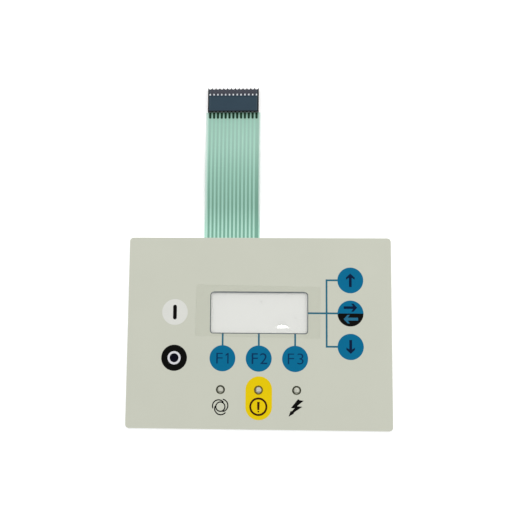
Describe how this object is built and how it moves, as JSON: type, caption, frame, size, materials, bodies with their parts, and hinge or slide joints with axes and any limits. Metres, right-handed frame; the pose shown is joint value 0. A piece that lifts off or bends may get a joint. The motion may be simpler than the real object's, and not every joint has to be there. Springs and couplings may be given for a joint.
{
  "type": "membrane keypad",
  "caption": "Flat membrane keypad with a display window, round colour-field keys, indicator lamps and a flat film tail that ends in a housing of crimped sockets.",
  "frame": {"origin": "middle of the panel's outline on its rear face, the outer face of the release liner", "axes": "+X to the right across the face, +Y up the face and along the tail, +Z out of the printed face"},
  "size_m": [0.168, 0.22, 0.003],
  "materials": {
    "overlay_film": "fine satin texture",
    "blue_ink": "screen print under satin film",
    "white_ink": "screen print under satin film",
    "black_ink": "screen print under satin film",
    "yellow_ink": "screen print under satin film",
    "grey_ink": "screen print under satin film",
    "clear_window": "clear gloss film",
    "clear_guard": "thin clear peel-off film",
    "lens_plastic": "clear domed lens",
    "adhesive": "tacky translucent adhesive",
    "spacer_film": "plain polyester film",
    "liner_paper": "siliconised paper",
    "circuit_film": "green tinted film",
    "silver_ink": "silver ink under green varnish",
    "dome_steel": "stainless spring steel",
    "lamp_chip": "clear resin on a white carrier",
    "housing_plastic": "fine moulded texture",
    "contact_metal": "tin plated strip"
  },
  "bodies": {
    "root": {"release_liner": "liner_paper", "rear_adhesive": "adhesive", "circuit_film": "circuit_film", "silver_tracks": "silver_ink", "dome_spacer": "spacer_film", "front_adhesive": "adhesive", "graphic_overlay": "overlay_film", "blue_print": "blue_ink", "white_print": "white_ink", "black_print": "black_ink", "yellow_print": "yellow_ink", "grey_print": "grey_ink", "display_window": "clear_window", "protective_film": "clear_guard", "dome_start": "dome_steel", "dome_stop": "dome_steel", "dome_f1": "dome_steel", "dome_f2": "dome_steel", "dome_f3": "dome_steel", "dome_up": "dome_steel", "dome_swap": "dome_steel", "dome_down": "dome_steel", "lamp_left": "lamp_chip", "lamp_middle": "lamp_chip", "lamp_right": "lamp_chip", "lens_left": "lens_plastic", "lens_middle": "lens_plastic", "lens_right": "lens_plastic", "connector_housing": "housing_plastic", "contact_1": "contact_metal", "contact_2": "contact_metal", "contact_3": "contact_metal", "contact_4": "contact_metal", "contact_5": "contact_metal", "contact_6": "contact_metal", "contact_7": "contact_metal", "contact_8": "contact_metal", "contact_9": "contact_metal", "contact_10": "contact_metal", "contact_11": "contact_metal", "contact_12": "contact_metal", "contact_13": "contact_metal"}
  },
  "joints": []
}
